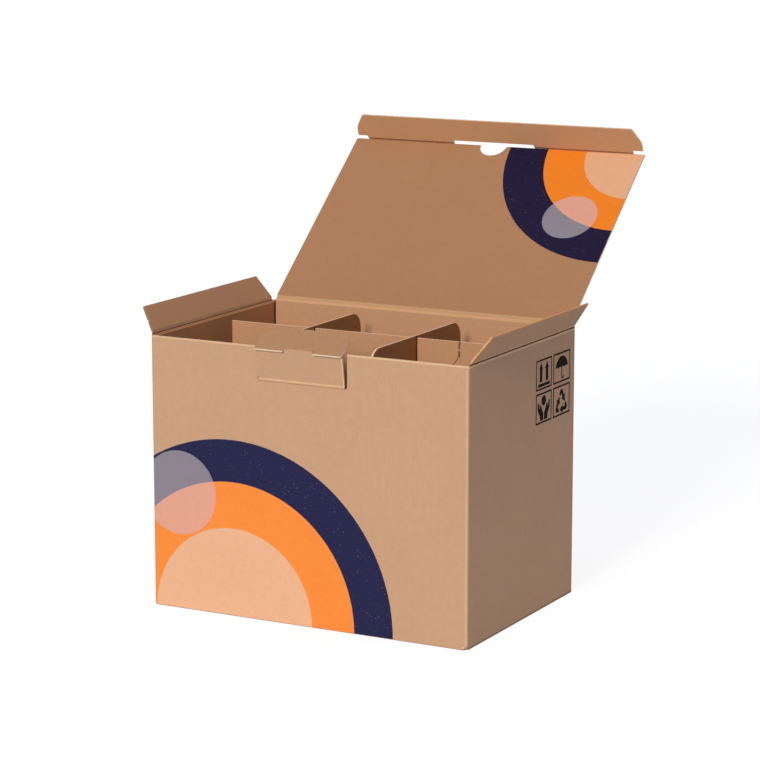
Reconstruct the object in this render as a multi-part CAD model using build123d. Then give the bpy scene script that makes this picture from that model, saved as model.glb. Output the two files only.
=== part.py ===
from build123d import *
from math import radians, tan
import os

# Board, folds and cuts
board = 2.0  # thickness of the corrugated board
fold_radius = 2.5  # outer radius of the four upright folds
fold_groove = 0.7  # radius of the pressed line inside an upright fold
crease_gap = 0.15  # half of the line left open along a hinged crease
crease_angle = 50.0  # half angle of the groove pressed inside a crease, degrees
overrun = 3.0  # how far a cutting shape passes what it cuts

# Carton walls
box_width = 330.0
box_depth = 226.0
wall_height = 259.5  # to the creases of the dust flaps
front_drop = 0.8  # the cut edge of the front wall, below those creases
seam_gap = 1.5  # between the cut edge of the back wall and the left wall
lap_width = 32.0  # glued lap behind the back wall
lap_trim = 16.0  # the lap stops this far from the top and the bottom
lap_bevel = 9.0  # slope of the lap's two ends
lap_root = 3.0  # strip of the lap along its fold, which runs up behind the seam
lap_root_trim = 1.0  # that strip stops this far from the top
bottom_edge_radius = 1.5

# Bottom, a snap lock of four flaps
flap_clearance = 1.0  # beside a bottom flap
front_flap_reach = 122.0
side_flap_reach = 105.0
side_flap_taper = 42.0
back_flap_reach = 150.0
tongue_width = 86.0
tongue_ramp = 22.0  # where the tongue rises through the mouth of the back flap
tongue_length = 34.0  # what lies on the back flap
mouth_clearance = 3.0

# Lid, opened past upright
lid_lean = 50.0  # back from upright, degrees
tuck_clearance = 1.5  # between the closed tuck flap and the front wall
notch_radius = 15.0  # thumb notch in the front edge of the lid

# Tuck flap
tuck_bend = 72.0  # from the plane of the lid, degrees
tuck_length = 28.5
tuck_inset = 1.8  # each end, from the side of the lid
tuck_straight = 14.0  # part of each end before it slopes in
tuck_taper = 9.0
tuck_shoulder_radius = 16.0
tuck_corner_radius = 1.5
slit_length = 11.0  # cut at each end of the fold
slot_height = 4.5  # the slits and the slot for the lock tab
slot_corner_radius = 1.2

# Dust flaps
left_dust_lean = 40.0  # out from upright, degrees
right_dust_lean = 34.0
dust_length = 28.5
dust_front_clearance = 0.4  # from the inner face of the front wall
dust_back_clearance = 1.2  # from the inner face of the back wall
dust_front_taper = 12.5
dust_back_taper = 2.5
nick_rise = 13.5  # nick in the front edge of a dust flap
nick_size = 1.3

# Lock tab cut from the front wall
lock_offset = -4.2  # its centre, from the centre of the wall
lock_width = 90.0
lock_height = 32.4  # from its crease to the fold of its tip
lock_depth = 32.0  # its crease, below the top of the front wall
lock_lean = 10.0  # out from upright, degrees
left_slit = 0.7  # cut beside the tab
right_slit = 2.4
bridge_width = 30.0  # middle part, where the tip hangs on the tab
tip_bend = 70.0  # from the plane of the tab, degrees
tip_length = 29.0
tip_shoulder = 17.0  # where the tip starts to narrow
tip_taper = 10.6
ear_drop = 3.0  # parts of the tip beside the bridge, below the fold
ear_clearance = 0.9
bridge_clearance = 0.6
ear_shift = 0.35  # the gap between the ears, from the middle of the bridge to the right

# Divider insert
divider_drop = 2.3  # from the top of the walls to the top of the long divider
cross_rise = 2.3  # the cross dividers stand this much higher
long_divider_length = 289.0
cross_divider_length = 180.0
cross_corner_radius = 16.0
lap_clearance = 0.6  # each side of a half-lap slot
cut_width = 0.8  # die-cut line in the long divider
cut_reach = 99.4  # its upright part, from the middle of the insert
cut_depth = 25.0
cut_radius = 15.0
cut_run = 12.0  # straight part at its foot
cut_nick = 1.6
cut_nick_depth = 8.0

# Places that several pieces share
inner_width = box_width - 2 * board
inner_depth = box_depth - 2 * board
lid_width = inner_width - 2 * seam_gap
lid_length = box_depth - board - tuck_clearance
lid_crease_height = wall_height + board
floor_height = 3 * board
divider_top = wall_height - divider_drop
divider_height = divider_top - floor_height
cell_width = inner_width / 3
tuck_half = lid_width / 2 - tuck_inset
window_width = lock_width + left_slit + right_slit
window_shift = (left_slit - right_slit) / 2
lock_crease_height = wall_height - lock_depth

# Each crease runs along its own X on the outer face, with Y up the panel and Z towards the inside
lid_crease = Plane((0, box_depth / 2, lid_crease_height), (1, 0, 0), (0, -1, 0)).location
left_crease = Plane((-box_width / 2, 0, wall_height), (0, 1, 0), (1, 0, 0)).location
right_crease = Plane((box_width / 2, 0, wall_height), (0, -1, 0), (-1, 0, 0)).location
lock_crease = Plane((lock_offset, -box_depth / 2, lock_crease_height), (-1, 0, 0), (0, 1, 0)).location


def groove(length):
    """What the pressed groove takes from the panel above a crease."""
    inside = board + overrun
    run = crease_gap + inside * tan(radians(crease_angle))
    section = make_face(
        Polyline(
            (-overrun, -overrun),
            (crease_gap, -overrun),
            (crease_gap, 0),
            (run, inside),
            (-overrun, inside),
            close=True,
        )
    )
    return extrude(Plane.YZ * section, length / 2, both=True)


def groove_below(length):
    """What the same groove takes from the panel below a crease."""
    return mirror(groove(length), about=Plane.XZ)


def at(loc, y):
    """A crease further up the same panel."""
    return loc * Pos(0, y, 0)


# Carton body: four walls of one folded sheet, with rounded folds at the corners and the foot
block = extrude(RectangleRounded(box_width, box_depth, fold_radius), lid_crease_height)
block = fillet(block.faces().sort_by(Axis.Z)[0].edges(), bottom_edge_radius)
hollow = Rectangle(inner_width, inner_depth)
hollow += GridLocations(inner_width, inner_depth, 2, 2) * Circle(fold_groove)
hollow += Pos(-inner_width / 2 + seam_gap / 2, box_depth / 2) * Rectangle(seam_gap, 2 * board)
walls = block - extrude(hollow, lid_crease_height)

# Only the back wall, under the lid, stands above the other walls
rim = Rectangle(box_width + 2 * overrun, box_depth + 2 * overrun)
rim -= Pos(0, (box_depth - board) / 2) * Rectangle(lid_width, board)
walls -= extrude(Pos(0, 0, wall_height) * rim, board + overrun)
front_rim = Pos(0, -box_depth / 2) * Rectangle(box_width + 2 * overrun, 2 * board)
walls -= extrude(Pos(0, 0, wall_height - front_drop) * front_rim, front_drop + overrun)

walls -= left_crease * groove_below(inner_depth)
walls -= right_crease * groove_below(inner_depth)
walls -= lid_crease * groove_below(lid_width)

window = Pos(window_shift, (lock_depth + overrun) / 2) * Rectangle(window_width, lock_depth + overrun)
walls -= lock_crease * (Pos(0, 0, -overrun) * extrude(window, board + 2 * overrun))
walls -= lock_crease * (Pos(window_shift, 0, 0) * groove_below(window_width))

# The lap folds round from the left wall and is glued to the back wall, so all are one solid
lap_high = wall_height - lap_trim
root_high = wall_height - lap_root_trim
lap_outline = make_face(
    Polyline(
        (-box_width / 2, lap_trim),
        (lap_width - box_width / 2, lap_trim + lap_bevel),
        (lap_width - box_width / 2, lap_high - lap_bevel),
        (lap_root - box_width / 2, lap_high),
        (lap_root - box_width / 2, root_high),
        (-box_width / 2, root_high),
        close=True,
    )
)
lap = extrude(Plane.XZ.offset(-box_depth / 2 - board) * lap_outline, board)
lap_fold = Pos(-(box_width - board) / 2, (box_depth - fold_radius) / 2) * Rectangle(board, fold_radius)
lap += extrude(Pos(0, 0, lap_trim) * lap_fold, root_high - lap_trim)
lap_edges = lap.edges().filter_by(Axis.Z).group_by(Axis.Y)[-1]
lap = fillet(lap_edges.sort_by(Axis.X)[0], bottom_edge_radius)

# Bottom flaps, from the outermost up: front, sides, back, and the tongue of the front one
flap_width = inner_width - 2 * flap_clearance
front_edge = front_flap_reach - inner_depth / 2
back_edge = inner_depth / 2 - back_flap_reach
front_outline = Pos(0, -inner_depth / 2 + front_flap_reach / 2) * Rectangle(flap_width, front_flap_reach)
tongue_slot = Pos(0, front_edge - tongue_ramp / 2) * Rectangle(tongue_width + 2 * flap_clearance, tongue_ramp)
front_flap = extrude(front_outline - tongue_slot, board)

tongue_section = make_face(
    Polyline(
        (front_edge - tongue_ramp - board, 0),
        (front_edge - tongue_ramp, 0),
        (front_edge, floor_height),
        (front_edge + tongue_length, floor_height),
        (front_edge + tongue_length, floor_height + board),
        (front_edge - board / 2, floor_height + board),
        (front_edge - tongue_ramp - board, board),
        close=True,
    )
)
tongue = extrude(Plane.YZ * tongue_section, tongue_width / 2, both=True)
tongue_end = tongue.faces().sort_by(Axis.Y)[-1]
tongue = chamfer(tongue_end.edges().filter_by(Axis.Z), tongue_length / 3)

side_root = inner_depth / 2 - flap_clearance
side_outline = make_face(
    Polyline(
        (inner_width / 2, -side_root),
        (inner_width / 2, side_root),
        (inner_width / 2 - side_flap_reach, side_root - side_flap_taper),
        (inner_width / 2 - side_flap_reach, side_flap_taper - side_root),
        close=True,
    )
)
right_flap = extrude(Pos(0, 0, board) * side_outline, board)
left_flap = mirror(right_flap, about=Plane.YZ)

back_outline = Pos(0, (inner_depth - back_flap_reach) / 2) * Rectangle(flap_width, back_flap_reach)
mouth_depth = front_edge - back_edge
mouth = Pos(0, back_edge + mouth_depth / 2) * Rectangle(tongue_width + 2 * mouth_clearance, mouth_depth)
back_flap = extrude(Pos(0, 0, 2 * board) * (back_outline - mouth), board)

carton_body = walls + lap + front_flap + tongue + right_flap + left_flap + back_flap

# Lid, with the thumb notch in its front edge
lid_at = lid_crease * Rot(-lid_lean, 0, 0)
lid_outline = Pos(0, lid_length / 2) * Rectangle(lid_width, lid_length)
lid_outline -= Pos(lock_offset, lid_length) * Circle(notch_radius)
lid_panel = extrude(lid_outline, board) - groove(lid_width + overrun)
lid_panel -= Pos(0, lid_length, 0) * groove_below(lid_width + overrun)
lid = lid_at * lid_panel

# Tuck flap, cut free at both ends of its fold and along the slot for the lock tab
tuck_outline = make_face(
    Polyline(
        (-tuck_half, 0),
        (tuck_half, 0),
        (tuck_half, tuck_straight),
        (tuck_half - tuck_taper, tuck_length),
        (tuck_taper - tuck_half, tuck_length),
        (-tuck_half, tuck_straight),
        close=True,
    )
)
tuck_rows = tuck_outline.vertices().group_by(Axis.Y)
tuck_outline = fillet(tuck_rows[1], tuck_shoulder_radius)
tuck_outline = fillet(tuck_outline.vertices().group_by(Axis.Y)[-1], tuck_corner_radius)
slit = RectangleRounded(2 * slit_length, 2 * slot_height, slot_corner_radius)
slot = RectangleRounded(lock_width, 2 * slot_height, slot_corner_radius)
tuck_outline -= Pos(-tuck_half, 0) * slit
tuck_outline -= Pos(tuck_half, 0) * slit
tuck_outline -= Pos(lock_offset, 0) * slot
tuck_panel = extrude(tuck_outline, board) - groove(lid_width)
tuck_flap = at(lid_at, lid_length) * (Rot(tuck_bend, 0, 0) * tuck_panel)


def dust_flap(front):
    """A dust flap on its crease, with its front end towards +X where front is 1 and -X where it is -1."""
    front_root = inner_depth / 2 - dust_front_clearance
    back_root = inner_depth / 2 - dust_back_clearance
    front_tip = front_root - dust_front_taper
    outline = make_face(
        Polyline(
            (-back_root, 0),
            (front_root, 0),
            (front_tip, dust_length),
            (dust_back_taper - back_root, dust_length),
            close=True,
        )
    )
    nick_place = front_root - dust_front_taper * nick_rise / dust_length
    outline -= Pos(nick_place, nick_rise) * Rectangle(2 * nick_size, nick_size)
    panel = extrude(outline, board) - groove(box_depth)
    return panel if front > 0 else mirror(panel, about=Plane.YZ)


left_dust_flap = left_crease * (Rot(-left_dust_lean, 0, 0) * dust_flap(-1))
right_dust_flap = right_crease * (Rot(-right_dust_lean, 0, 0) * dust_flap(1))

# Lock tab: its middle third carries the fold of the tip, and its outer thirds are cut lower
lock_at = lock_crease * Rot(-lock_lean, 0, 0)
tab_side_height = lock_height - ear_drop - ear_clearance
tab_outline = Pos(0, tab_side_height / 2) * Rectangle(lock_width, tab_side_height)
tab_outline += Pos(0, lock_height / 2) * Rectangle(bridge_width, lock_height)
tab_panel = extrude(tab_outline, board) - groove(window_width)
tab_panel -= Pos(0, lock_height, 0) * groove_below(bridge_width + overrun)
lock_tab = lock_at * tab_panel

# Tip of the lock tab, with an ear on each side of the bridge and a narrower end
tip_half = lock_width / 2
narrow_half = tip_half - tip_taper
tip_outline = make_face(
    Polyline(
        (-tip_half, -ear_drop),
        (tip_half, -ear_drop),
        (tip_half, tip_shoulder),
        (narrow_half, tip_length),
        (-narrow_half, tip_length),
        (-tip_half, tip_shoulder),
        close=True,
    )
)
ear_gap = bridge_width + 2 * bridge_clearance
tip_outline -= Pos(-ear_shift, -ear_drop) * Rectangle(ear_gap, 2 * ear_drop)
tip_panel = extrude(tip_outline, board) - Pos(-ear_shift, 0, 0) * groove(ear_gap)
lock_tab_tip = at(lock_at, lock_height) * (Rot(tip_bend, 0, 0) * tip_panel)

# Long divider, slotted from above, with a die-cut line towards its right end
lap_slot_width = board + 2 * lap_clearance
lap_slot_depth = divider_height / 2 + lap_clearance
long_outline = Pos(0, floor_height + divider_height / 2) * Rectangle(long_divider_length, divider_height)
for x in (-cell_width / 2, cell_width / 2):
    long_outline -= Pos(x, divider_top - lap_slot_depth / 2 + overrun / 2) * Rectangle(
        lap_slot_width, lap_slot_depth + overrun
    )
cut_span = 2 * (cut_radius + cut_run)
cut_line = RectangleRounded(cut_span, 2 * cut_depth, cut_radius)
cut_line -= RectangleRounded(cut_span - 2 * cut_width, 2 * (cut_depth - cut_width), cut_radius - cut_width)
cut_quarter = Pos(cut_span / 4, -cut_depth / 2) * Rectangle(cut_span / 2, cut_depth)
cut_line &= cut_quarter
cut_line -= Pos(cut_span / 2, -cut_nick_depth) * Rectangle(2 * cut_width + cut_nick, cut_nick)
long_outline -= Pos(cut_reach - cut_span / 2, divider_top) * cut_line
long_divider = extrude(Plane.XZ * long_outline, board / 2, both=True)

# Cross dividers, slotted from below, with rounded upper corners
cross_height = divider_height + cross_rise
cross_outline = Pos(0, floor_height + cross_height / 2) * Rectangle(cross_divider_length, cross_height)
cross_outline = fillet(cross_outline.vertices().group_by(Axis.Y)[-1], cross_corner_radius)
cross_outline -= Pos(0, floor_height + lap_slot_depth / 2 - overrun / 2) * Rectangle(
    lap_slot_width, lap_slot_depth + overrun
)
cross_divider = extrude(Plane.YZ * cross_outline, board / 2, both=True)
left_cross_divider = Pos(-cell_width / 2, 0, 0) * cross_divider
right_cross_divider = Pos(cell_width / 2, 0, 0) * cross_divider

pieces = {
    "carton_body": carton_body,
    "lid": lid,
    "tuck_flap": tuck_flap,
    "left_dust_flap": left_dust_flap,
    "right_dust_flap": right_dust_flap,
    "lock_tab": lock_tab,
    "lock_tab_tip": lock_tab_tip,
    "long_divider": long_divider,
    "left_cross_divider": left_cross_divider,
    "right_cross_divider": right_cross_divider,
}

os.makedirs("parts", exist_ok=True)
for name, piece in pieces.items():
    export_step(piece, f"parts/{name}.step")
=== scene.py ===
import bmesh
import bpy
from math import cos, pi, radians, sin
from mathutils import Matrix, Vector, noise


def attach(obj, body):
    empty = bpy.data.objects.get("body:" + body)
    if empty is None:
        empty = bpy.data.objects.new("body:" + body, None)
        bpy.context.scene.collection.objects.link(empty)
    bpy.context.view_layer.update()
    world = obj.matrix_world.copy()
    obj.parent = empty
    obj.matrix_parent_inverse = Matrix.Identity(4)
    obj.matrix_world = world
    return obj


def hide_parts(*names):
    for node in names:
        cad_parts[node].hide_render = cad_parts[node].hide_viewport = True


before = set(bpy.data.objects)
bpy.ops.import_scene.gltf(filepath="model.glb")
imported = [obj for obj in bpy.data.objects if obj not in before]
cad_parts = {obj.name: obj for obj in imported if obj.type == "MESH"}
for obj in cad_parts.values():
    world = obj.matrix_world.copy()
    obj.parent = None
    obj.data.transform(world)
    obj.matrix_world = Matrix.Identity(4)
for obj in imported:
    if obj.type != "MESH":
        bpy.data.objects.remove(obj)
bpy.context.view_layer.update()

# Sizes that the looks share with the model, in millimetres and degrees
MM = 0.001
BOARD = 2.0
HALF_WIDTH = 165.0
HALF_DEPTH = 113.0
WALL_TOP = 259.5
FRONT_TOP = 258.7
FLOOR_TOP = 8.5  # no bottom flap is higher
LID_CREASE = 261.5
LID_LENGTH = 222.5
LID_HALF = 161.5
LID_LEAN = 50
TUCK_HALF = 159.7
TUCK_BEND = 72
SLIT = 11.0  # cut at each end of the tuck flap's fold
DUST_FRONT = -110.6
DUST_BACK = 109.8
LEFT_DUST_LEAN = 40
RIGHT_DUST_LEAN = 34
LOCK_MIDDLE = -4.2
LOCK_HALF = 45.0
LOCK_CREASE = 227.5
LOCK_HEIGHT = 32.4
LOCK_LEAN = 10
TIP_BEND = 70
BRIDGE_HALF = 15.0
CELL_HALF = (HALF_WIDTH - BOARD) / 3
FLUTE_PITCH = 3.6
SEAM_LEFT = 1.9 - HALF_WIDTH  # the open seam between the left wall and the back wall
SEAM_RIGHT = 3.6 - HALF_WIDTH

# The walls follow one another on the unfolded sheet: left, front, right and back
SIDE_START = HALF_WIDTH
SIDE_END = HALF_WIDTH + 2 * HALF_DEPTH
BACK_END = SIDE_END + 2 * HALF_WIDTH

# Sides of the board, which are the material slots of a piece; BACK holds the back wall's inner face, in a
# lighter liner that is painted light
OUTSIDE, INSIDE, EDGE, SEAM, BACK = 0, 1, 2, 3, 4


def linear(red, green, blue):
    """A colour written in 0 to 255, as the renderer wants it."""
    part = [c / 255 for c in (red, green, blue)]
    return [c / 12.92 if c <= 0.04045 else ((c + 0.055) / 1.055) ** 2.4 for c in part] + [1.0]


# Colours of the liners, the cut edges, the folds and the inks; some are lighter or darker copies of one
# board that carry painted light or painted shade
KRAFT_OUT = linear(203, 163, 128)
KRAFT_IN = linear(193, 145, 106)
# Painted light: a lighter copy of the inside liner, for the back wall's inner face
KRAFT_BACK_PAINTED_LIGHT = linear(199, 153, 116)
# Painted shade: a darker, warmer copy of the inside liner, for the inner faces of the walls
KRAFT_WALL_PAINTED_SHADE = linear(192, 139, 94)
KRAFT_LID = linear(176, 129, 92)
KRAFT_TIP = linear(184, 140, 103)
# Painted light: a lighter copy of the inside liner, for the long divider
KRAFT_DIVIDER_PAINTED_LIGHT = linear(198, 151, 113)
# Painted shade: a darker, more saturated copy of the divider liner, for the cross dividers
KRAFT_CROSS_PAINTED_SHADE = linear(170, 118, 72)
# Light liner for worn folds and for painted highlights
KRAFT_WORN_AND_HIGHLIGHT = linear(239, 202, 154)
# Painted shade, for dark lines in creases, at edges and along the feet
KRAFT_PAINTED_SHADE = linear(58, 34, 22)
BOARD_CUT = linear(240, 207, 172)
# The hollows between the flutes are darker: painted shade
BOARD_HOLLOW = linear(196, 156, 120)
# Painted shade: a darker copy of the cut edge, for the left dust flap
LEFT_FLAP_CUT_PAINTED_SHADE = linear(158, 114, 80)
LEFT_FLAP_HOLLOW_PAINTED_SHADE = linear(140, 98, 68)
# Painted light: a brighter copy of the cut edge, for the right dust flap
RIGHT_FLAP_CUT_PAINTED_LIGHT = linear(228, 168, 112)
RIGHT_FLAP_HOLLOW_PAINTED_LIGHT = linear(212, 150, 98)
# Painted highlight: a lighter copy of the cut edge, for the dividers
DIVIDER_CUT_PAINTED_HIGHLIGHT = linear(250, 212, 174)
DIVIDER_HOLLOW_PAINTED_HIGHLIGHT = linear(232, 192, 154)
# Painted highlight: a lighter copy of the cut edge, for the lock tab's tip
TIP_CUT_PAINTED_HIGHLIGHT = linear(255, 226, 190)
TIP_HOLLOW_PAINTED_HIGHLIGHT = linear(244, 206, 168)
# Painted highlight: a lighter liner for the ridge along the lid's crease
FOLD_PAINTED_HIGHLIGHT = linear(204, 160, 124)
# Painted shade: a dark reddish liner for the ridges along the dust flap creases
FOLD_PAINTED_SHADE = linear(108, 60, 44)
# Painted highlight: a lighter liner for the beads along the lock tab's creases
FOLD_TAB_PAINTED_HIGHLIGHT = linear(208, 168, 132)
# Painted shade: dark brown for the open seam between the left wall and the back wall
SEAM_PAINTED_SHADE = linear(64, 40, 26)
INK_NAVY = linear(27, 33, 73)
INK_ORANGE = linear(253, 145, 60)
INK_PEACH = linear(239, 186, 146)
LID_NAVY = linear(20, 16, 52)
LID_ORANGE = linear(244, 132, 32)
LID_PEACH = linear(232, 176, 134)
INK_MIST = linear(200, 190, 196)
INK_BLACK = linear(12, 10, 9)
WHITE = (1.0, 1.0, 1.0, 1.0)

# How strongly each layer of the pulp shows in the tone of a liner
PLAIN_TONE = 0.79
CLOUD_TONE = 0.08
BLOTCH_TONE = 0.10
FIBRE_TONE = 0.16
GRAIN_TONE = 0.12
GRAIN_LIFT = 0.04
FLUTE_TONE = 0.006
FLECK_TONE = 0.16

# Edges of print and of pressed lines, in millimetres
INK_EDGE = 0.2
INK_WOBBLE = 0.7
LINE_EDGE = 0.3
LINE_WOBBLE = 0.9


class Nodes:
    """Writes the node tree of one material or world."""

    def __init__(self, owner):
        owner.use_nodes = True
        self.owner = owner
        self.tree = owner.node_tree
        self.tree.nodes.clear()

    def feed(self, socket, value):
        if isinstance(value, bpy.types.NodeSocket):
            self.tree.links.new(value, socket)
        else:
            socket.default_value = value

    def node(self, kind, settings, *sockets):
        made = self.tree.nodes.new("ShaderNode" + kind)
        for key, value in settings.items():
            setattr(made, key, value)
        for key, value in sockets:
            self.feed(made.inputs[key], value)
        return made

    def math(self, operation, a, b=0.0, c=0.0):
        return self.node("Math", {"operation": operation}, (0, a), (1, b), (2, c)).outputs[0]

    def vector(self, operation, a, b=(0.0, 0.0, 0.0)):
        return self.node("VectorMath", {"operation": operation}, (0, a), (1, b)).outputs[0]

    def length(self, a, b):
        return self.node("VectorMath", {"operation": "DISTANCE"}, (0, a), (1, b)).outputs[1]

    def scaled(self, a, factor):
        return self.node("VectorMath", {"operation": "SCALE"}, (0, a), (3, factor)).outputs[0]

    def noise(self, vector, scale, detail):
        sockets = ("Vector", vector), ("Scale", scale), ("Detail", detail)
        return self.node("TexNoise", {}, *sockets).outputs[0]

    def cells(self, vector, scale):
        """Distance from the middle of a cell, and a number that is the cell's own."""
        made = self.node("TexVoronoi", {}, ("Vector", vector), ("Scale", scale))
        return made.outputs[0], self.split(made.outputs[1])[0]

    def ramp(self, value, low, high, to_low, to_high):
        sockets = (0, value), (1, low), (2, high), (3, to_low), (4, to_high)
        return self.node("MapRange", {"clamp": True}, *sockets).outputs[0]

    def mix(self, factor, a, b):
        return self.node("Mix", {"data_type": "RGBA"}, (0, factor), (6, a), (7, b)).outputs[2]

    def uv(self, name):
        return self.node("UVMap", {"uv_map": name}).outputs[0]

    def split(self, vector):
        return self.node("SeparateXYZ", {}, (0, vector)).outputs

    def flutes(self, along):
        """The wave of the corrugated layer."""
        return self.math("SINE", self.math("MULTIPLY", along, 2 * pi / (FLUTE_PITCH * MM)))

    def bump(self, height, strength, distance):
        sockets = ("Height", height), ("Strength", strength), ("Distance", distance)
        return self.node("Bump", {}, *sockets).outputs[0]

    def seen(self):
        """One for what the camera sees itself, in a mirror or through glass."""
        path = self.node("LightPath", {})
        share = path.outputs["Is Camera Ray"]
        for way in ("Is Glossy Ray", "Is Transmission Ray"):
            share = self.math("MAXIMUM", share, path.outputs[way])
        return share

    def finish(self, colour, roughness, normal, specular=0.12):
        sockets = ("Base Color", colour), ("Roughness", roughness), ("Normal", normal)
        shader = self.node("BsdfPrincipled", {}, *sockets, ("Specular IOR Level", specular))
        self.node("OutputMaterial", {}, (0, shader.outputs[0]))
        return self.owner


def inked(n, sheet, colour, prints):
    """Rings and discs of ink on the board: middle, inner and outer radius, ink and its cover."""
    if not prints:
        return colour
    wobble = n.math("MULTIPLY_ADD", n.noise(sheet, 650, 2), INK_WOBBLE * MM, -INK_WOBBLE / 2 * MM)
    reach, own = n.cells(sheet, 330.0)
    few = n.ramp(own, 0.40, 0.95, 0.0, 1.0)
    paper = n.math("MULTIPLY", n.ramp(reach, 0.08, 0.20, 0.30, 0.0), few)
    cloud = n.ramp(n.noise(sheet, 900, 2), 0.35, 0.75, 1.0, 0.965)
    layer = n.math("SUBTRACT", cloud, paper)
    for u, v, inner, outer, ink, cover in prints:
        reach = n.math("ADD", n.length(sheet, (u * MM, v * MM, 0)), wobble)
        mask = n.ramp(reach, (outer - INK_EDGE) * MM, (outer + INK_EDGE) * MM, cover, 0.0)
        if inner > 0:
            hole = n.ramp(reach, (inner - INK_EDGE) * MM, (inner + INK_EDGE) * MM, 0.0, 1.0)
            mask = n.math("MULTIPLY", mask, hole)
        colour = n.mix(n.math("MULTIPLY", mask, layer), colour, ink)
    return colour


def scored(n, sheet, colour, lines):
    """Pressed and worn lines, and lines of painted shade and painted highlight: the axis they cross, from
    and to there, from and to along, and how much they lighten the liner, or darken it where that is below
    zero."""
    if not lines:
        return colour
    wobble = n.math("MULTIPLY_ADD", n.noise(sheet, 420, 3), LINE_WOBBLE * MM, -LINE_WOBBLE / 2 * MM)
    parts = n.split(sheet)
    for axis, low, high, start, end, change in lines:
        across = n.math("ADD", parts[axis], wobble)
        mask = n.math(
            "MULTIPLY",
            n.ramp(across, (low - LINE_EDGE) * MM, (low + LINE_EDGE) * MM, 0.0, 1.0),
            n.ramp(across, (high - LINE_EDGE) * MM, (high + LINE_EDGE) * MM, 1.0, 0.0),
        )
        along = parts[1 - axis]
        inside = n.math(
            "MULTIPLY",
            n.math("GREATER_THAN", along, start * MM),
            n.math("LESS_THAN", along, end * MM),
        )
        share = n.math("MULTIPLY", n.math("MULTIPLY", mask, inside), abs(change))
        # Lines above zero mix in the light liner of wear and painted highlights; lines below zero mix in
        # painted shade
        colour = n.mix(share, colour, KRAFT_WORN_AND_HIGHLIGHT if change > 0 else KRAFT_PAINTED_SHADE)
    return colour


def scuffed(n, sheet, level, scuffs):
    """Faint upright rubbing marks: their middle, their reach and how much they lighten."""
    streak = n.noise(n.vector("MULTIPLY", sheet, (1.0, 0.05, 1.0)), 900, 2)
    for u, v, reach, gain in scuffs:
        near = n.ramp(n.length(sheet, (u * MM, v * MM, 0)), reach * 0.4 * MM, reach * MM, gain, 0.0)
        level = n.math("ADD", level, n.math("MULTIPLY", near, n.ramp(streak, 0.52, 0.66, 0.0, 1.0)))
    return level


def kraft(name, base, seed, prints=(), lines=(), scuffs=(), flute=1.0, pulp=1.0):
    """Liner of corrugated board: cloudy pulp, fibres, flecks and the faint lines of the flutes."""
    n = Nodes(bpy.data.materials.new(name))
    sheet = n.uv("sheet")
    at = n.vector("ADD", sheet, (seed, seed * 0.7, 0.0))
    cloud = n.noise(at, 16, 3)
    blotch = n.noise(at, 140, 4)
    fibre = n.noise(n.vector("MULTIPLY", at, (0.3, 1.0, 1.0)), 1500, 3)
    grain = n.noise(at, 1300 / pulp, 1)
    wave = n.flutes(n.split(sheet)[0])

    level = n.math("MULTIPLY_ADD", cloud, CLOUD_TONE, PLAIN_TONE)
    level = n.math("MULTIPLY_ADD", blotch, BLOTCH_TONE, level)
    level = n.math("MULTIPLY_ADD", fibre, FIBRE_TONE, level)
    level = n.math("ADD", level, GRAIN_LIFT)
    level = n.math("MULTIPLY_ADD", n.math("SUBTRACT", grain, 0.5), GRAIN_TONE * pulp, level)
    level = n.math("MULTIPLY_ADD", wave, FLUTE_TONE * flute, level)

    reach, own = n.cells(at, 210.0)
    fleck = n.ramp(reach, 0.05, 0.11, FLECK_TONE, 0.0)
    level = n.math("SUBTRACT", level, n.math("MULTIPLY", fleck, n.ramp(own, 0.70, 0.72, 0.0, 1.0)))
    level = scuffed(n, sheet, level, scuffs)

    warm = n.ramp(n.noise(at, 45, 3), 0.35, 0.65, 0.0, 0.35)
    tinted = n.mix(warm, base, [base[0] * 1.03, base[1] * 0.985, base[2] * 0.94, 1.0])
    colour = scored(n, sheet, inked(n, sheet, tinted, prints), lines)
    colour = n.scaled(colour, level)

    height = n.math("MULTIPLY_ADD", wave, 0.16 * flute, n.math("MULTIPLY", fibre, 0.5))
    height = n.math("MULTIPLY_ADD", grain, 0.3, height)
    roughness = n.ramp(fibre, 0.3, 0.7, 0.76, 0.92)
    return n.finish(colour, roughness, n.bump(height, 0.35, 0.12 * MM))


def cut_edge(name, seed, face, hollow, pressed):
    """A die-cut edge: two liners, and between them the wave of the flutes, more or less crushed, with
    painted shade in the hollows between the flutes.
    """
    n = Nodes(bpy.data.materials.new(name))
    edge = n.uv("edge")
    along, across, _ = n.split(edge)
    at = n.vector("ADD", edge, (seed, seed, 0.0))
    fibre = n.noise(at, 1900, 3)
    crush = n.noise(at, 160, 2)
    middle = n.math("SUBTRACT", across, BOARD / 2 * MM)
    gap = n.math("ABSOLUTE", n.math("MULTIPLY_ADD", n.flutes(along), -0.62 * MM, middle))
    flute = n.ramp(gap, 0.16 * MM, 0.40 * MM, 1.0, 0.0)
    liner = n.ramp(n.math("ABSOLUTE", middle), 0.58 * MM, 0.74 * MM, 0.0, 1.0)
    solid = n.math("MAXIMUM", flute, liner)
    solid = n.math("MAXIMUM", solid, n.ramp(crush, 0.40, 0.62, pressed, 1.0))
    level = n.math("MULTIPLY_ADD", fibre, 0.22, 0.89)
    # The darker hollow colour between the flutes is painted shade
    colour = n.scaled(n.mix(solid, hollow, face), level)
    height = n.math("MULTIPLY_ADD", fibre, 0.4, solid)
    roughness = n.ramp(fibre, 0.3, 0.7, 0.84, 0.96)
    return n.finish(colour, roughness, n.bump(height, 0.5, 0.2 * MM), 0.15)


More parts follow.
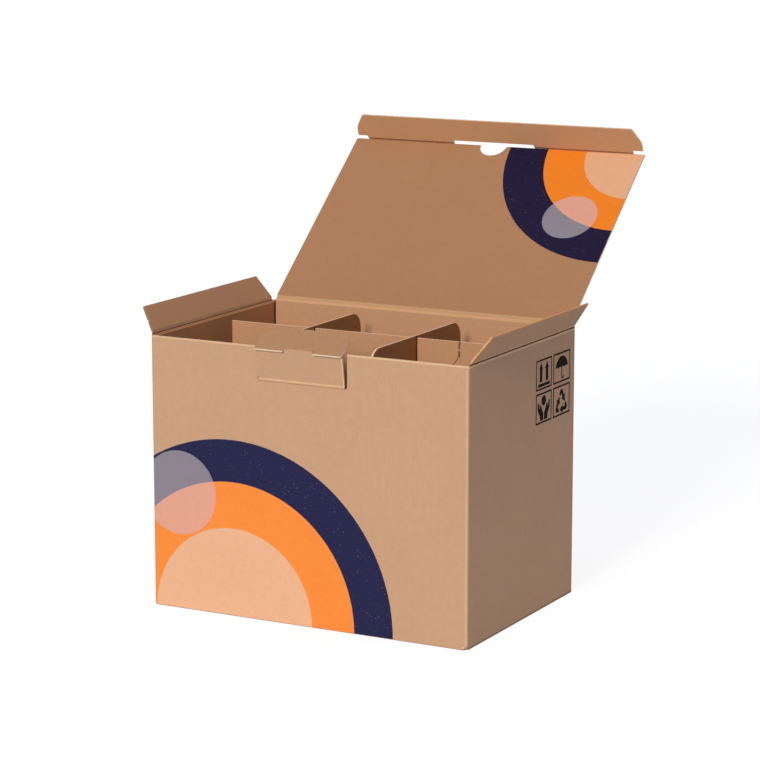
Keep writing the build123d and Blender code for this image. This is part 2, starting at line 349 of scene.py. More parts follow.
def ink(name, base):
    """Thin printing ink on board, with the pulp showing through in places."""
    n = Nodes(bpy.data.materials.new(name))
    spot = n.node("TexCoord", {}).outputs["Object"]
    pulp = n.noise(spot, 1500, 3)
    cloud = n.noise(spot, 260, 2)
    thin = n.math("MULTIPLY", n.ramp(pulp, 0.55, 0.76, 0.0, 0.15), n.ramp(cloud, 0.35, 0.7, 0.3, 1.0))
    colour = n.mix(thin, base, KRAFT_OUT)
    return n.finish(colour, n.ramp(pulp, 0.3, 0.7, 0.62, 0.8), n.bump(pulp, 0.2, 0.08 * MM), 0.03)


# The print: rounds of colour standing on the foot of the front, and in one corner of the lid
front_print = (
    (-78.0, 0.0, 128.0, 168.0, INK_NAVY, 1.0),
    (-78.0, 0.0, 84.0, 128.0, INK_ORANGE, 0.985),
    (-78.0, 0.0, 0.0, 84.0, INK_PEACH, 0.96),
    (-136.0, 112.0, 0.0, 40.0, INK_MIST, 0.45),
)
lid_print = (
    (LID_HALF, LID_LENGTH, 104.0, 146.0, LID_NAVY, 1.0),
    (LID_HALF, LID_LENGTH, 62.0, 104.0, LID_ORANGE, 0.985),
    (LID_HALF, LID_LENGTH, 0.0, 62.0, LID_PEACH, 0.97),
    (112.0, 132.0, 0.0, 28.0, INK_MIST, 0.45),
)

# Lines on the liners: painted shade and painted highlights along creases, edges and feet, and some wear of
# the folds
UPRIGHT, LEVEL = 0, 1
FAR = 400  # past the ends of every panel
FOOT = 2
wall_lines = (
    # Along the side walls' tops and the back wall's lid crease: a dark line of painted shade in the
    # crease, and a light line of painted highlight beside it
    (LEVEL, WALL_TOP - 1.2, WALL_TOP + 1, SIDE_START, SIDE_END, -0.72),
    (LEVEL, WALL_TOP - 2.9, WALL_TOP - 1.2, SIDE_START, SIDE_END, 1.0),
    (LEVEL, WALL_TOP - 0.9, WALL_TOP + 1, -SIDE_END, -SIDE_START, -0.72),
    (LEVEL, WALL_TOP - 2.4, WALL_TOP - 0.9, -SIDE_END, -SIDE_START, 0.42),
    (LEVEL, LID_CREASE - 0.8, LID_CREASE + 1, SIDE_END, BACK_END, -0.6),
    (LEVEL, LID_CREASE - 2.4, LID_CREASE - 0.8, SIDE_END, BACK_END, 0.35),
    # Under the lock tab's crease: a dark line of painted shade
    (LEVEL, LOCK_CREASE - 1.1, LOCK_CREASE, LOCK_MIDDLE - LOCK_HALF, LOCK_MIDDLE + LOCK_HALF, -0.35),
    # Down the front-right fold: a lighter band, partly stretched liner and partly painted highlight
    (UPRIGHT, SIDE_START - 2.2, SIDE_START - 0.5, FOOT, WALL_TOP, 0.42),
    # Down the front wall's left edge: a thin dark line of painted shade
    (UPRIGHT, -SIDE_START - 0.5, -SIDE_START + 1.3, FOOT, WALL_TOP, -0.20),
    # Along the top of the front wall beside the lock tab: lighter bands
    (LEVEL, FRONT_TOP - 1.4, WALL_TOP, -HALF_WIDTH, LOCK_MIDDLE - LOCK_HALF - 1, 0.6),
    (LEVEL, FRONT_TOP - 1.4, WALL_TOP, LOCK_MIDDLE + LOCK_HALF + 2, HALF_WIDTH, 0.8),
    # Down the right wall's back edge: a dark line of painted shade
    (UPRIGHT, SIDE_END - 2.6, SIDE_END - 0.2, FOOT, WALL_TOP, -0.42),
    # Along the foot of all walls, and more on the right wall: dark lines of painted shade
    (LEVEL, -1, 1.0, -SIDE_END, BACK_END, -0.14),
    (LEVEL, -1, 2.4, SIDE_START, SIDE_END, -0.45),
    # At the crushed foot of the front-right corner: a lighter patch
    (LEVEL, -1, 3.2, SIDE_START - 5, SIDE_START + 1.6, 0.80),
)
# Light bands along the inner side of the creases: painted highlights
inside_lines = ((LEVEL, LID_CREASE - 2.8, LID_CREASE + 1, SIDE_END, BACK_END, 0.30),)
lid_lines = ((LEVEL, -1, 2.2, -LID_HALF, LID_HALF, 0.34),)
# On the flaps' outer faces: a dark line of painted shade in the crease and a light line of painted
# highlight above it
flap_lines = ((LEVEL, -0.6, 0.5, -FAR, FAR, -0.5), (LEVEL, 0.5, 2.0, -FAR, FAR, 0.75))
# The lock tab adds a light line along its right edge: a painted highlight standing for its lit cut edge
tab_lines = flap_lines + ((UPRIGHT, -LOCK_HALF - 1, 1.2 - LOCK_HALF, -1, 40, 0.7),)
dust_lines = ((LEVEL, -1, 2.5, -FAR, FAR, 0.55),)
# A dark line down the long divider's die cut, broken at the nick: painted shade of the slit
divider_lines = ((UPRIGHT, 98.3, 100.3, 249.8, 260, -0.9), (UPRIGHT, 98.3, 100.3, 243.0, 248.4, -0.9))
# Dark lines either side of where the cross dividers meet the long divider: painted contact shade
cross_lines = ((UPRIGHT, -2.8, -0.7, 0, 260, -0.75), (UPRIGHT, 0.7, 1.8, 0, 260, -0.6))
front_scuffs = ((98, 148, 60, 0.05), (60, 178, 26, 0.04))

# The walls' outer liner carries the print and the painted shade and painted highlight lines of wall_lines
walls_outside = kraft(
    "board_outside_print", KRAFT_OUT, 0.37, front_print, wall_lines, front_scuffs, pulp=1.5
)
# The walls' inner faces: a darker copy of the inside liner, painted shade
walls_inside_painted_shade = kraft("board_inside_walls_painted_shade", KRAFT_WALL_PAINTED_SHADE, 5.23, (), inside_lines)
# The flaps' outer liner carries the painted shade and painted highlight of flap_lines
plain_outside = kraft("board_outside", KRAFT_OUT, 1.91, (), flap_lines, pulp=1.5)
plain_inside = kraft("board_inside", KRAFT_IN, 2.63)
# The lid's inner liner carries the print and a painted highlight along its crease
lid_inside = kraft("board_inside_print", KRAFT_LID, 3.17, lid_print, lid_lines)
# The long divider: a lighter copy of the liner, painted light
divider_face_painted_light = kraft("divider_liner_painted_light", KRAFT_DIVIDER_PAINTED_LIGHT, 4.41, (), divider_lines, flute=1.3, pulp=2.0)
# The lock tab's outer liner carries painted shade and painted highlights
tab_outside = kraft("board_outside_tab", KRAFT_OUT, 1.91, (), tab_lines, pulp=1.5)
# The dust flaps' inner liner carries a painted highlight along the crease
dust_inside = kraft("board_inside_dust", KRAFT_IN, 2.63, (), dust_lines)
# The cross dividers: a darker copy of the liner, painted shade
cross_face_painted_shade = kraft("cross_divider_liner_painted_shade", KRAFT_CROSS_PAINTED_SHADE, 8.57, (), cross_lines, flute=1.3)
tip_outside = kraft("tip_liner", KRAFT_TIP, 9.13, pulp=2.6)
# The back wall's inner face: a lighter copy of the inside liner, painted light
back_inside_painted_light = kraft("board_inside_back_painted_light", KRAFT_BACK_PAINTED_LIGHT, 5.77, (), inside_lines)
# The lid crease ridge: a lighter liner, painted highlight
painted_highlight_crease = kraft("crease_painted_highlight", FOLD_PAINTED_HIGHLIGHT, 6.11)
# The dust flap crease ridges: a dark liner, painted shade
painted_shade_crease = kraft("crease_painted_shade", FOLD_PAINTED_SHADE, 6.83)
# The lock tab crease beads: a lighter liner, painted highlight
tab_painted_highlight_crease = kraft("crease_tab_painted_highlight", FOLD_TAB_PAINTED_HIGHLIGHT, 7.39)
# The open seam: a dark brown liner, painted shade
seam_painted_shade = kraft("seam_painted_shade", SEAM_PAINTED_SHADE, 7.91)
board_edge = cut_edge("board_cut_edge", 0.53, BOARD_CUT, BOARD_HOLLOW, 0.2)
# The left dust flap's cut edge: a darker copy, painted shade
left_flap_edge_painted_shade = cut_edge("flap_cut_edge", 0.71, LEFT_FLAP_CUT_PAINTED_SHADE, LEFT_FLAP_HOLLOW_PAINTED_SHADE, 0.8)
# The right dust flap's cut edge: a brighter copy, painted light
right_flap_edge_painted_light = cut_edge("right_flap_cut_edge_painted_light", 0.77, RIGHT_FLAP_CUT_PAINTED_LIGHT, RIGHT_FLAP_HOLLOW_PAINTED_LIGHT, 0.8)
# The dividers' cut edges: a lighter copy, painted highlight
divider_edge_painted_highlight = cut_edge("divider_cut_edge_painted_highlight", 0.97, DIVIDER_CUT_PAINTED_HIGHLIGHT, DIVIDER_HOLLOW_PAINTED_HIGHLIGHT, 0.6)
# The tip's cut edge: a lighter copy, painted highlight
tip_edge_painted_highlight = cut_edge("tip_cut_edge_painted_highlight", 0.89, TIP_CUT_PAINTED_HIGHLIGHT, TIP_HOLLOW_PAINTED_HIGHLIGHT, 0.7)
sign_ink = ink("sign_ink", INK_BLACK)

# What the sides of each piece are made of
wall_set = (walls_outside, walls_inside_painted_shade, board_edge, seam_painted_shade, back_inside_painted_light)
lid_set = (plain_outside, lid_inside, board_edge)
tuck_set = (plain_outside, plain_inside, board_edge)
left_flap_set = (plain_outside, dust_inside, left_flap_edge_painted_shade)
right_flap_set = (plain_outside, dust_inside, right_flap_edge_painted_light)
tab_set = (tab_outside, plain_inside, board_edge)
tip_set = (tip_outside, plain_inside, tip_edge_painted_highlight)
divider_set = (divider_face_painted_light, divider_face_painted_light, divider_edge_painted_highlight)
cross_set = (cross_face_painted_shade, cross_face_painted_shade, divider_edge_painted_highlight)


def place(origin, x_dir, z_dir, lean=0.0):
    """Where a panel is: X along its crease, Y up the panel and Z to its inner face."""
    x = Vector(x_dir)
    z = Vector(z_dir)
    turn = Matrix((x, z.cross(x), z)).transposed().to_4x4()
    return Matrix.Translation(Vector(origin) * MM) @ turn @ Matrix.Rotation(radians(lean), 4, "X")


def further(panel, y, bend):
    """A panel folded on at a crease further up another one."""
    return panel @ Matrix.Translation((0, y * MM, 0)) @ Matrix.Rotation(radians(bend), 4, "X")


carton_place = Matrix.Identity(4)
lid_place = place((0, HALF_DEPTH, LID_CREASE), (1, 0, 0), (0, -1, 0), -LID_LEAN)
tuck_place = further(lid_place, LID_LENGTH, TUCK_BEND)
tuck_fold_place = further(lid_place, LID_LENGTH, 0)
left_place = place((-HALF_WIDTH, 0, WALL_TOP), (0, 1, 0), (1, 0, 0), -LEFT_DUST_LEAN)
right_place = place((HALF_WIDTH, 0, WALL_TOP), (0, -1, 0), (-1, 0, 0), -RIGHT_DUST_LEAN)
lock_place = place((LOCK_MIDDLE, -HALF_DEPTH, LOCK_CREASE), (-1, 0, 0), (0, 1, 0), -LOCK_LEAN)
tip_place = further(lock_place, LOCK_HEIGHT, TIP_BEND)
long_place = place((0, BOARD / 2, 0), (1, 0, 0), (0, -1, 0))
left_cross_place = place((-CELL_HALF - BOARD / 2, 0, 0), (0, 1, 0), (1, 0, 0))
right_cross_place = place((CELL_HALF - BOARD / 2, 0, 0), (0, 1, 0), (1, 0, 0))
seam_middle = (SEAM_LEFT + SEAM_RIGHT) / 2
seam_place = place((seam_middle, HALF_DEPTH - BOARD / 2, 0), (0, 0, 1), (0, -1, 0))
sign_place = place((HALF_WIDTH, 0, 0), (0, 1, 0), (1, 0, 0))


def new_piece(name, bm, at, materials):
    """A piece of the scene from finished faces."""
    mesh = bpy.data.meshes.new(name)
    bm.to_mesh(mesh)
    bm.free()
    for material in materials:
        mesh.materials.append(material)
    piece = bpy.data.objects.new(name, mesh)
    bpy.context.scene.collection.objects.link(piece)
    piece.matrix_world = at
    return piece


# Arrises between these angles are pressed round, this far where a piece names no distance
ARRIS_LOW = radians(34)
ARRIS_HIGH = radians(115)
ARRIS = 0.2
SHARP = radians(48)
FLAT = radians(0.6)
MERGE = 0.003


def board_mesh(node, at, pinch):
    """The node's faces in its panel's own frame, with the arrises of the board pressed round."""
    bm = bmesh.new()
    bm.from_mesh(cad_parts[node].data)
    bmesh.ops.transform(bm, matrix=at.inverted(), verts=bm.verts)
    bmesh.ops.remove_doubles(bm, verts=bm.verts, dist=MERGE * MM)
    bmesh.ops.dissolve_limit(bm, angle_limit=FLAT, verts=bm.verts, edges=bm.edges)
    arrises = [e for e in bm.edges if e.is_manifold and ARRIS_LOW < e.calc_face_angle(0.0) < ARRIS_HIGH]
    bmesh.ops.bevel(
        bm, geom=arrises, offset=(pinch or ARRIS) * MM, offset_type="OFFSET", segments=2, profile=0.5,
        affect="EDGES", clamp_overlap=not pinch,
    )
    bm.normal_update()
    return bm


def panel_side(centre, normal):
    """Which side of a flat panel a face belongs to."""
    if abs(normal.z) > 0.45:
        return INSIDE if normal.z > 0 else OUTSIDE
    return EDGE


def panel_map(centre, normal, side):
    """Places on the sheet, and on its cut edge, of a flat panel."""
    return lambda p: (p.x, p.y), lambda p: (p.x, p.z)


# Where the glued lap starts behind the back wall, and how far an upright fold reaches
LAP_START = 3 - HALF_WIDTH
FOLD_REACH = 2.6
PROBE = 0.6
SLIGHT = 0.4  # a face that turns less than this to an axis doesn't look that way


def carton_side(centre, normal):
    """Which side of the folded carton a face belongs to."""
    c = centre / MM
    probe = c + normal * PROBE
    if c.z < FLOOR_TOP and abs(normal.z) > SLIGHT:
        return INSIDE if normal.z > 0 else OUTSIDE
    # Faces in the open seam take a dark brown, painted shade
    in_seam = SEAM_LEFT < c.x < SEAM_RIGHT and c.y > HALF_DEPTH - BOARD
    if in_seam and normal.y < SLIGHT and normal.z < SLIGHT:
        return SEAM
    at_lap_edge = c.y > HALF_DEPTH + 0.2 and normal.y < SLIGHT and c.x > LAP_START
    if normal.z > 0.85 or at_lap_edge:
        return EDGE
    if normal.z > SLIGHT:
        return INSIDE
    if abs(probe.x) < HALF_WIDTH - BOARD and abs(probe.y) < HALF_DEPTH - BOARD:
        # The back wall's inner face takes the lighter liner, which is painted light
        return BACK if normal.y < -0.5 and c.y > HALF_DEPTH - 2 * BOARD else INSIDE
    if abs(probe.x) > HALF_WIDTH or abs(probe.y) > HALF_DEPTH:
        return OUTSIDE
    at_fold = abs(c.x) > HALF_WIDTH - FOLD_REACH and abs(c.y) > HALF_DEPTH - FOLD_REACH
    outward = normal.x * c.x >= -0.01 and normal.y * c.y >= -0.01
    return OUTSIDE if at_fold and outward and abs(normal.z) < 0.5 else EDGE


def carton_map(centre, normal, side):
    """Places on the unfolded sheet, where the walls follow one another round the carton."""
    c = centre / MM
    if c.z < FLOOR_TOP and abs(normal.z) > 0.5:
        return lambda p: (p.x, p.y - 0.4), lambda p: (p.x, p.z)
    width = HALF_WIDTH * MM
    depth = HALF_DEPTH * MM
    gaps = [abs(c.y + HALF_DEPTH), abs(c.x - HALF_WIDTH), abs(c.y - HALF_DEPTH), abs(c.x + HALF_WIDTH)]
    wall = gaps.index(min(gaps))
    if side != EDGE and abs(normal.z) < 0.5:
        facing = abs(normal.y) >= abs(normal.x)
        wall = (0 if c.y < 0 else 2) if facing else (1 if c.x > 0 else 3)
    if wall == 0:
        return lambda p: (p.x, p.z), lambda p: (p.x, p.y + depth)
    if wall == 1:
        return lambda p: (width + p.y + depth, p.z), lambda p: (p.y, width - p.x)
    if wall == 2:
        return lambda p: (2 * width + 2 * depth - p.x, p.z), lambda p: (p.x, depth - p.y)
    return lambda p: (-width - p.y - depth, p.z), lambda p: (p.y, p.x + width)


def board_piece(
    name, node, body, at, materials, pinch=0.0, shape=None, side_of=panel_side, map_of=panel_map
):
    """A piece of board that stands for a node, with its liners, its cut edges and their places."""
    bm = board_mesh(node, at, pinch)
    if shape:
        shape(bm)
        bm.normal_update()
    sheet = bm.loops.layers.uv.new("sheet")
    edge = bm.loops.layers.uv.new("edge")
    for face in bm.faces:
        centre = face.calc_center_median()
        face.material_index = side_of(centre, face.normal)
        face.smooth = True
        on_sheet, on_edge = map_of(centre, face.normal, face.material_index)
        for loop in face.loops:
            loop[sheet].uv = on_sheet(loop.vert.co)
            loop[edge].uv = on_edge(loop.vert.co)
    piece = new_piece(name, bm, at, materials)
    piece.data.set_sharp_from_angle(angle=SHARP)
    weigh = piece.modifiers.new("even_normals", "WEIGHTED_NORMAL")
    weigh.weight = 100
    weigh.keep_sharp = True
    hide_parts(node)
    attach(piece, body)


# How the walls have settled
CUT_STEP = 22
CUTS_EACH_WAY = (7, 5, 6)
WALL_MIDDLE = 130
CUT_SNAP = 0.001
CRUSHED_CORNER = (HALF_WIDTH - 1.8, 1.8 - HALF_DEPTH, 2.4)
CRUSHED_SLANT = (0.62, -0.5, -0.6)
CRUSHED_SHARE = 0.9
BOW = 0.45
BOW_RUN = 120
BOW_RISE = 110
BOW_TOP = 246
BOW_TOP_FADE = 60
BOW_FOOT_FADE = 30
BOW_FOLD = 4
BOW_FOLD_FADE = 30
LOCK_ZONE_WIDTH = 90
LOCK_ZONE_HEIGHT = 70
LOCK_ZONE_MIDDLE = 240


def cut_through(bm, spot, normal):
    """New edges where a plane meets the faces."""
    geom = list(bm.verts) + list(bm.edges) + list(bm.faces)
    bmesh.ops.bisect_plane(bm, geom=geom, plane_co=spot, plane_no=normal, dist=CUT_SNAP * MM)


def settle(bm):
    """Walls of real board: a slight bow here and there and one crushed corner."""
    for axis, count in enumerate(CUTS_EACH_WAY):
        normal = Vector([1.0 if i == axis else 0.0 for i in range(3)])
        for k in range(-count, count + 1):
            cut_through(bm, Vector((0, 0, WALL_MIDDLE * MM)) + normal * (k * CUT_STEP * MM), normal)

    # The crushed corner, pushed in to a small slanting facet
    corner = Vector(CRUSHED_CORNER) * MM
    slant = Vector(CRUSHED_SLANT).normalized()
    cut_through(bm, corner, slant)
    for v in bm.verts:
        past = (v.co - corner).dot(slant)
        if past > 0:
            v.co -= slant * past * CRUSHED_SHARE

    # Slow bends of the walls, none near the creases and the lock tab
    for v in bm.verts:
        x, y, z = v.co / MM
        fade = min(1.0, max(0.0, (BOW_TOP - z) / BOW_TOP_FADE)) * min(1.0, max(0.0, z / BOW_FOOT_FADE))
        if y < 0:
            aside = abs(x - LOCK_MIDDLE) / LOCK_ZONE_WIDTH
            off_lock = max(aside, abs(z - LOCK_ZONE_MIDDLE) / LOCK_ZONE_HEIGHT)
            fade *= 1 - min(1.0, 2 * max(0.0, 1 - off_lock))
        # Each wall has its own part of the noise
        bow_y = noise.noise(Vector((x / BOW_RUN, 3.0 if y < 0 else 12.0, z / BOW_RISE)))
        bow_x = noise.noise(Vector((17.0 if x < 0 else 26.0, y / BOW_RUN, z / BOW_RISE)))
        in_x = HALF_WIDTH - BOW_FOLD - abs(x)
        in_y = HALF_DEPTH - BOW_FOLD - abs(y)
        if in_y < 0 and in_x > 0:
            v.co.y += BOW * MM * fade * bow_y * min(1.0, in_x / BOW_FOLD_FADE)
        if in_x < 0 and in_y > 0:
            v.co.x += BOW * MM * fade * bow_x * min(1.0, in_y / BOW_FOLD_FADE)


board_piece(
    "carton_shell", "carton_body", "carton", carton_place, wall_set,
    shape=settle, side_of=carton_side, map_of=carton_map,
)
for name, node, at, materials, pinch in (
    ("lid_sheet", "lid", lid_place, lid_set, 0.45),
    ("tuck_sheet", "tuck_flap", tuck_place, tuck_set, 0.45),
    ("left_dust_sheet", "left_dust_flap", left_place, left_flap_set, 0.6),
    ("right_dust_sheet", "right_dust_flap", right_place, right_flap_set, 0.6),
    ("lock_sheet", "lock_tab", lock_place, tab_set, 0.0),
    ("lock_tip_sheet", "lock_tab_tip", tip_place, tip_set, 0.0),
):
    board_piece(name, node, node, at, materials, pinch)
for name, node, at, materials, pinch in (
    ("long_divider_sheet", "long_divider", long_place, divider_set, 0.0),
    ("left_cross_sheet", "left_cross_divider", left_cross_place, cross_set, 0.4),
    ("right_cross_sheet", "right_cross_divider", right_cross_place, cross_set, 0.4),
):
    board_piece(name, node, "carton", at, materials, pinch)

RIDGE = 0.30
RIDGE_STEP = 3.0
RIDGE_SIDES = 8
RIDGE_WIDE = 1.15
RIDGE_HIGH = 0.9


def crease(name, body, at, start, end, liner, size=RIDGE):
    """The pressed outer liner along a hinged crease: a soft uneven ridge that closes the fold."""
    bm = bmesh.new()
    count = max(4, round((end - start) / RIDGE_STEP))
    rings = []
    for i in range(count + 1):
        x = start + (end - start) * i / count
        swell = size + size / 6 * noise.noise(Vector((x / 7, at.translation.z * 40, 0.5)))
        ring = []
        for k in range(RIDGE_SIDES):
            turn = 2 * pi * k / RIDGE_SIDES
            spot = Vector((x, RIDGE_WIDE * swell * cos(turn), RIDGE_HIGH * swell * sin(turn)))
            ring.append(bm.verts.new(spot * MM))
        rings.append(ring)
    for one, two in zip(rings, rings[1:]):
        for k in range(RIDGE_SIDES):
            after = (k + 1) % RIDGE_SIDES
            bm.faces.new((one[k], two[k], two[after], one[after]))
    bm.faces.new(rings[0])
    bm.faces.new(reversed(rings[-1]))
    bmesh.ops.recalc_face_normals(bm, faces=bm.faces)
    sheet = bm.loops.layers.uv.new("sheet")
    for face in bm.faces:
        face.smooth = True
        for loop in face.loops:
            loop[sheet].uv = (loop.vert.co.x, loop.vert.co.y + loop.vert.co.z)
    piece = new_piece(name, bm, at, [liner])
    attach(piece, body)


SLOT_LEFT = LOCK_MIDDLE - LOCK_HALF
SLOT_RIGHT = LOCK_MIDDLE + LOCK_HALF
for row in (
    # The lid crease ridge carries a painted highlight
    ("lid_crease_ridge", "carton", lid_place, -LID_HALF, LID_HALF, painted_highlight_crease),
    # The dust flap crease ridges carry painted shade
    ("left_dust_crease_ridge", "carton", left_place, DUST_FRONT, DUST_BACK, painted_shade_crease),
    ("right_dust_crease_ridge", "carton", right_place, -DUST_BACK, -DUST_FRONT, painted_shade_crease, 0.58),
    # A dark ridge down the open seam: painted shade
    ("seam_glue_line", "carton", seam_place, FLOOR_TOP - 6, WALL_TOP - 2, seam_painted_shade, 0.68),
    # The lock tab and tip crease beads carry a painted highlight
    ("lock_crease_ridge", "carton", lock_place, -LOCK_HALF, LOCK_HALF, tab_painted_highlight_crease, 0.75),
    ("lock_tip_crease_ridge", "lock_tab", tip_place, -BRIDGE_HALF, BRIDGE_HALF, tab_painted_highlight_crease),
    ("left_tuck_crease_ridge", "lid", tuck_fold_place, SLIT - TUCK_HALF, SLOT_LEFT, plain_inside),
    ("right_tuck_crease_ridge", "lid", tuck_fold_place, SLOT_RIGHT, TUCK_HALF - SLIT, plain_inside),
):
    crease(*row)


# Handling signs on the right wall, in a frame whose X runs back and whose Y runs up
INK_LIFT = 0.03
INK_DEPTH = 0.05
INK_JOIN = 0.01


def arc(middle, radius, start, end, count=24):
    """Points on an arc, angles in degrees."""
    turns = [radians(start + (end - start) * i / count) for i in range(count + 1)]
    return [(middle[0] + radius * cos(t), middle[1] + radius * sin(t)) for t in turns]


def band(middle, radius, width, start, end):
    """An arc drawn with a pen of that width."""
    outer = arc(middle, radius + width / 2, start, end)
    return outer + arc(middle, radius - width / 2, end, start)


def flattened(points, level, factor):
    """Points drawn nearer to a level."""
    return [(x, level + (y - level) * factor) for x, y in points]


def turned(points, angle):
    """Points turned round zero."""
    c = cos(radians(angle))
    s = sin(radians(angle))
    return [(c * x - s * y, s * x + c * y) for x, y in points]


def box(left, low, right, high):
    """The corners of a bar or a frame."""
    return [(left, low), (right, low), (right, high), (left, high)]


def outline(left, low, right, high, width):
    """A frame of four bars that meet at its corners."""
    outer = box(left, low, right, high)
    inner = box(left + width, low + width, right - width, high - width)
    return [[outer[i - 1], outer[i], inner[i], inner[i - 1]] for i in range(4)]


def arrow(x, low, high, shaft, head):
    """An arrow that points up."""
    neck = high - head
    half = shaft / 2
    wing = head * 0.62
    return [
        (x - half, low), (x + half, low), (x + half, neck), (x + wing, neck),
        (x, high), (x - wing, neck), (x - half, neck),
    ]


def sign(name, shapes):
    """Thin ink in the given outlines."""
    bm = bmesh.new()
    for points in shapes:
        bm.faces.new([bm.verts.new(Vector((x, y, -INK_LIFT)) * MM) for x, y in points])
    bmesh.ops.remove_doubles(bm, verts=bm.verts, dist=INK_JOIN * MM)
    made = bmesh.ops.extrude_face_region(bm, geom=list(bm.faces))
    moved = [g for g in made["geom"] if isinstance(g, bmesh.types.BMVert)]
    bmesh.ops.translate(bm, verts=moved, vec=Vector((0, 0, INK_LIFT + INK_DEPTH)) * MM)
    bmesh.ops.recalc_face_normals(bm, faces=bm.faces)
    piece = new_piece(name, bm, sign_place, [sign_ink])
    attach(piece, "carton")


PEN = 1.6
NEAR_COLUMN = (26.3, 60.5)
FAR_COLUMN = (64.0, 101.0)
HIGH_ROW = (211.5, 240.2)
LOW_ROW = (179.7, 208.5)


def framed(column, row):
    """The frame of a sign, with the middle and the foot of the place inside it."""
    frame_bars = outline(column[0], row[0], column[1], row[1], PEN)
    return frame_bars, sum(column) / 2, row[0]


# Upright: two arrows over a bar
shapes, mid, low = framed(NEAR_COLUMN, HIGH_ROW)
shapes += [arrow(x, low + 7.4, low + 25.8, 5.4, 6.4) for x in (mid - 6.4, mid + 6.4)]
shapes += [box(mid - 12.8, low + 2.9, mid + 12.8, low + 5.8)]
sign("sign_upright", shapes)

# Keep dry: an umbrella
shapes, mid, low = framed(FAR_COLUMN, HIGH_ROW)
rim = low + 13
dome = flattened(arc((mid, rim), 13.6, 0, 180), rim, 0.86)
for k in range(4):
    dome += flattened(arc((mid - 10.2 + k * 6.8, rim), 3.4, 180, 0, 8)[1:], rim, 0.5)
shapes += [dome[:-1], box(mid - PEN / 2, low + 6, mid + PEN / 2, low + 14.2)]
shapes += [band((mid + 2.2, low + 6), 2.2, PEN, 180, 360)]
sign("sign_dry", shapes)

# With care: a ball over two cupped hands
shapes, mid, low = framed(NEAR_COLUMN, LOW_ROW)
palm = [
    (1.0, 2.6), (7.4, 2.6), (8.6, 7.6), (12.6, 12.6), (13.4, 19.6), (10.8, 20.2), (9.6, 15.2), (8.2, 14.2),
    (8.6, 17.4), (5.8, 17.6), (3.8, 12.6), (1.0, 9.6),
]
shapes += [arc((mid, low + 21.0), 4.8, 0, 345, 23)]
shapes += [[(mid + side * x, low + y) for x, y in palm] for side in (-1, 1)]
sign("sign_care", shapes)

# Used again: three arrows that follow one another round a triangle
shapes, mid, low = framed(FAR_COLUMN, LOW_ROW)
bent = [
    (-3.86, 7.31), (-1.62, 11.2), (1.62, 11.2), (4.76, 5.75), (6.41, 6.7), (6.36, 0.0), (0.52, 3.3),
    (2.16, 4.25), (0.0, 8.0), (-1.26, 5.81),
]
for angle in (0, 120, 240):
    shapes.append([(mid + 1.22 * x, low + 11.9 + 1.15 * y) for x, y in turned(bent, angle)])
sign("sign_again", shapes)

# Floor, white to the eye and grey to the light, so that the shadow stays
FLOOR_REACH = 30.0
FLOOR_DROP = 0.0002
FLOOR_GREY = (0.60, 0.60, 0.60, 1.0)
FLOOR_GLOW = 1.34
FLOOR_GLOW_SHARE = 0.65
floor_mesh = bpy.data.meshes.new("floor")
corners = [(x, y, 0) for x, y in box(-FLOOR_REACH, -FLOOR_REACH, FLOOR_REACH, FLOOR_REACH)]
floor_mesh.from_pydata(corners, [], [(0, 1, 2, 3)])
floor = bpy.data.objects.new("floor", floor_mesh)
bpy.context.scene.collection.objects.link(floor)
floor.location.z = -FLOOR_DROP
n = Nodes(bpy.data.materials.new("floor_white"))
matt = n.node("BsdfDiffuse", {}, ("Color", FLOOR_GREY))
glow = n.node("Emission", {}, ("Color", WHITE), ("Strength", FLOOR_GLOW))
share = n.math("MULTIPLY", n.seen(), FLOOR_GLOW_SHARE)
blend = n.node("MixShader", {}, (0, share), (1, matt.outputs[0]), (2, glow.outputs[0]))
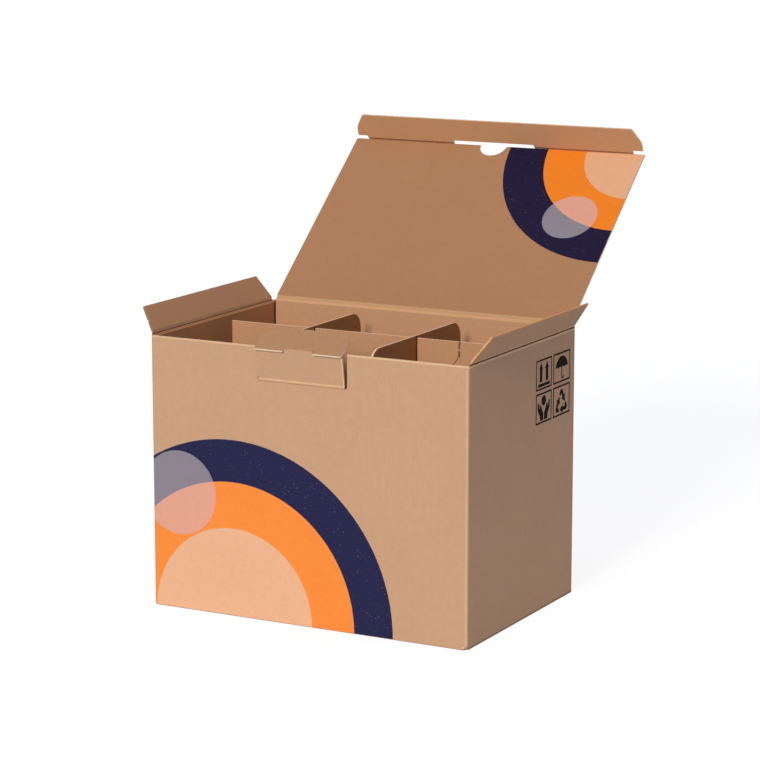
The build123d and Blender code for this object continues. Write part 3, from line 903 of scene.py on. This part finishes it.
n.node("OutputMaterial", {}, (0, blend.outputs[0]))
floor_mesh.materials.append(n.owner)

# Soft light from all round, a little more from above
SKY_COLOUR = (0.98, 1.06, 1.33, 1.0)
SKY_LOW = 0.32
SKY_HIGH = 0.36
n = Nodes(bpy.data.worlds.new("studio"))
bpy.context.scene.world = n.owner
rise = n.split(n.node("TexCoord", {}).outputs["Generated"])[2]
strength = n.ramp(rise, 0.0, 1.0, SKY_LOW, SKY_HIGH)
soft = n.node("Background", {}, ("Color", SKY_COLOUR), ("Strength", strength))
white = n.node("Background", {}, ("Color", WHITE))
blend = n.node("MixShader", {}, (0, n.seen()), (1, soft.outputs[0]), (2, white.outputs[0]))
n.node("OutputWorld", {}, (0, blend.outputs[0]))


def lamp(name, kind, energy, colour, heading):
    """A lamp that shines the way it heads."""
    light = bpy.data.lights.new(name, kind)
    light.energy = energy
    light.color = colour
    made = bpy.data.objects.new(name, light)
    bpy.context.scene.collection.objects.link(made)
    made.rotation_euler = Vector(heading).to_track_quat("-Z", "Y").to_euler()
    return made


key = lamp("key", "SUN", 2.16, (1.0, 0.94, 0.865), (-0.05, 0.895, -0.43))
key.data.angle = radians(14)

# Light that a white table throws back at the foot of the right wall
bounce = lamp("bounce", "AREA", 0.048, (0.9, 1.0, 1.2), (-1.0, 0.0, 0.0))
bounce.data.shape = "RECTANGLE"
bounce.data.size = 0.55
bounce.data.size_y = 0.06
bounce.location = (0.36, -0.04, 0.035)
bounce.visible_camera = False

# Camera
CAMERA_PLACE = (1.2450004, -2.2864278, 0.7224687)
CAMERA_DIP = 0.193606157
CAMERA_TURN = 0.493184188
camera = bpy.data.cameras.new("camera")
camera.sensor_width = 36.0
camera.lens = 133.748
camera.clip_start = 0.05
view = bpy.data.objects.new("camera", camera)
bpy.context.scene.collection.objects.link(view)
view.location = CAMERA_PLACE
view.rotation_euler = (pi / 2 - CAMERA_DIP, 0.0, CAMERA_TURN)
bpy.context.scene.camera = view
bpy.context.scene.view_settings.view_transform = "Standard"
